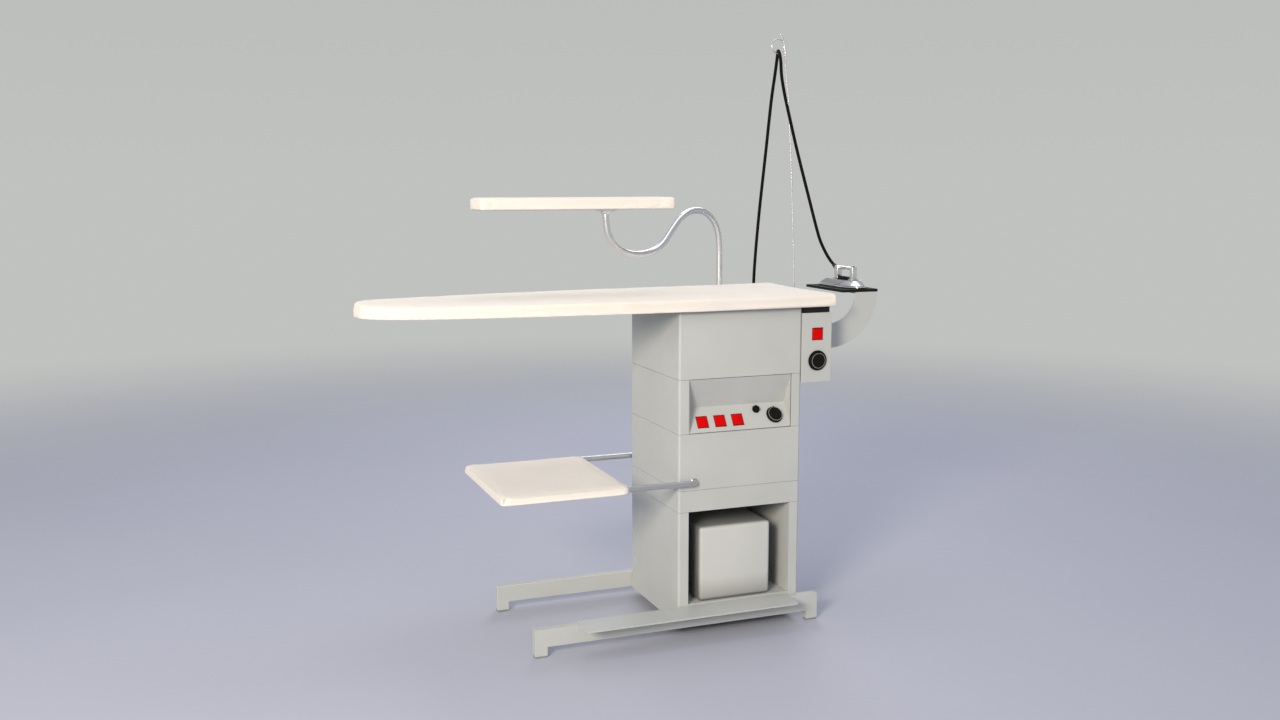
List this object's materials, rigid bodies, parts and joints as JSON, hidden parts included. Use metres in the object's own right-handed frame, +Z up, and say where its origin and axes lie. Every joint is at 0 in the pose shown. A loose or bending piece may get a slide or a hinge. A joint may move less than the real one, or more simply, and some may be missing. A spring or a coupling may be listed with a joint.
{
  "type": "vacuum ironing station with steam generator iron",
  "caption": "Industrial ironing station: cabinet with built-in steam generator, padded vacuum board, sleeve board on a swan-neck arm, linen tray, iron on its rest and hose pole.",
  "frame": {"origin": "centre of the footprint on the floor", "axes": "+Z up; +X along the board from its nose to its square end; +Y to the back, away from the pedal"},
  "size_m": [1.436, 0.511, 1.6051],
  "materials": {
    "casing_paint": "warm light grey satin paint",
    "pad_fabric": "cream woven ironing cover",
    "red_plastic": "glossy red",
    "black_plastic": "glossy black",
    "black_rubber": "matt black rubber",
    "grey_rubber": "mid grey rubber",
    "steel": "satin steel",
    "polished_steel": "polished steel",
    "brass": "plain brass",
    "white_plastic": "white polyethylene",
    "motor_paint": "dark blue-grey enamel"
  },
  "bodies": {
    "station": {"base_plate": "casing_paint", "tank_bay_shell": "casing_paint", "band_shell": "casing_paint", "boiler_section_shell": "casing_paint", "control_section_shell": "casing_paint", "control_panel": "casing_paint", "top_section_shell": "casing_paint", "rear_service_cover": "casing_paint", "front_rail": "casing_paint", "rear_rail": "casing_paint", "control_box": "casing_paint", "rest_bracket": "casing_paint", "arm_socket": "casing_paint", "board_cover": "pad_fabric", "control_box_bracket": "black_plastic", "rest_plate": "black_plastic", "pole_socket": "black_plastic", "hose_gland": "black_plastic", "rest_mat": "black_rubber", "iron_hose": "black_rubber", "floor_pad_front_left": "grey_rubber", "floor_pad_front_right": "grey_rubber", "floor_pad_rear_left": "grey_rubber", "floor_pad_rear_right": "grey_rubber", "pedal_pivot_rod": "steel", "pedal_return_spring": "steel", "board_tray": "steel", "board_mesh_plate": "steel", "suction_duct": "steel", "boiler_heater": "steel", "fan_housing": "steel", "hose_pole": "steel", "boiler_tank": "brass", "solenoid_valve": "brass", "feed_pump": "motor_paint", "fan_motor": "motor_paint"},
    "pedal": {"foot_pedal": "casing_paint"},
    "vacuum_switch": {"vacuum_rocker": "red_plastic"},
    "boiler_switch": {"boiler_rocker": "red_plastic"},
    "pump_switch": {"pump_rocker": "red_plastic"},
    "iron_switch": {"iron_rocker": "red_plastic"},
    "steam_control": {"steam_knob": "black_plastic"},
    "thermostat_control": {"thermostat_knob": "black_plastic"},
    "iron_control": {"iron_dial": "black_plastic"},
    "sleeve_arm": {"arm_tube": "steel", "sleeve_board_plate": "steel", "sleeve_board_cover": "pad_fabric"},
    "tray": {"tray_tube_front": "steel", "tray_tube_rear": "steel", "tray_board": "white_plastic", "tray_cover": "pad_fabric"},
    "tank": {"water_tank": "white_plastic"},
    "cap": {"tank_cap": "grey_rubber"},
    "iron": {"iron_sole": "polished_steel", "iron_body": "polished_steel", "iron_handle": "steel", "iron_heat_guard": "black_plastic", "iron_hose_boot": "black_rubber"},
    "steam_button": {"iron_steam_button": "black_plastic"},
    "impeller": {"fan_impeller": "steel"}
  },
  "joints": [
    {"name": "pedal_hinge", "type": "hinge", "parent": "station", "child": "pedal", "pos_m": [0.095, -0.1965, 0.0665], "axis": [1, 0, 0], "range_deg": [0, 9], "stiffness_Nm_per_rad": 8, "springref_deg": -11.46},
    {"name": "vacuum_hinge", "type": "hinge", "parent": "station", "child": "vacuum_switch", "pos_m": [0.1514, -0.14173, 0.5655], "axis": [1, 0, 0], "range_deg": [-5, 5]},
    {"name": "boiler_hinge", "type": "hinge", "parent": "station", "child": "boiler_switch", "pos_m": [0.2028, -0.14173, 0.5655], "axis": [1, 0, 0], "range_deg": [-5, 5]},
    {"name": "pump_hinge", "type": "hinge", "parent": "station", "child": "pump_switch", "pos_m": [0.2542, -0.14173, 0.5655], "axis": [1, 0, 0], "range_deg": [-5, 5]},
    {"name": "iron_switch_hinge", "type": "hinge", "parent": "station", "child": "iron_switch", "pos_m": [0.482, -0.157, 0.7916], "axis": [1, 0, 0], "range_deg": [-5, 5]},
    {"name": "steam_knob_turn", "type": "hinge", "parent": "station", "child": "steam_control", "pos_m": [0.314, -0.13479, 0.59091], "axis": [0, -0.839, 0.5442], "range_deg": [-270, 0]},
    {"name": "thermostat_knob_turn", "type": "hinge", "parent": "station", "child": "thermostat_control", "pos_m": [0.3646, -0.1454, 0.57455], "axis": [0, -0.839, 0.5442], "range_deg": [-270, 0]},
    {"name": "iron_dial_turn", "type": "hinge", "parent": "station", "child": "iron_control", "pos_m": [0.482, -0.165, 0.7196], "axis": [0, -1, 0], "range_deg": [-270, 0]},
    {"name": "arm_swivel", "type": "hinge", "parent": "station", "child": "sleeve_arm", "pos_m": [0.377, 0.24, 0.84], "axis": [0, 0, 1], "range_deg": [-90, 90]},
    {"name": "tray_fold", "type": "hinge", "parent": "station", "child": "tray", "pos_m": [0.121, 0.008, 0.415], "axis": [0, 1, 0], "range_deg": [0, 50]},
    {"name": "tank_slide", "type": "slide", "parent": "station", "child": "tank", "axis": [0, -1, 0], "range_m": [0, 0.3]},
    {"name": "cap_turn", "type": "hinge", "parent": "tank", "child": "cap", "pos_m": [0.2445, 0.06, 0.286], "axis": [0, 0, 1], "range_deg": [0, 360]},
    {"name": "iron_lift", "type": "slide", "parent": "station", "child": "iron", "axis": [0, 0, 1], "range_m": [0, 0.1], "deforming": ["iron_hose"]},
    {"name": "steam_button_press", "type": "slide", "parent": "iron", "child": "steam_button", "axis": [0, 0, -1], "range_m": [0, 0.0015], "stiffness_N_per_m": 400, "springref_m": -0.002},
    {"name": "fan_spin", "type": "hinge", "parent": "station", "child": "impeller", "pos_m": [0.256, 0.04, 0.748], "axis": [0, 0, 1], "continuous": true}
  ]
}
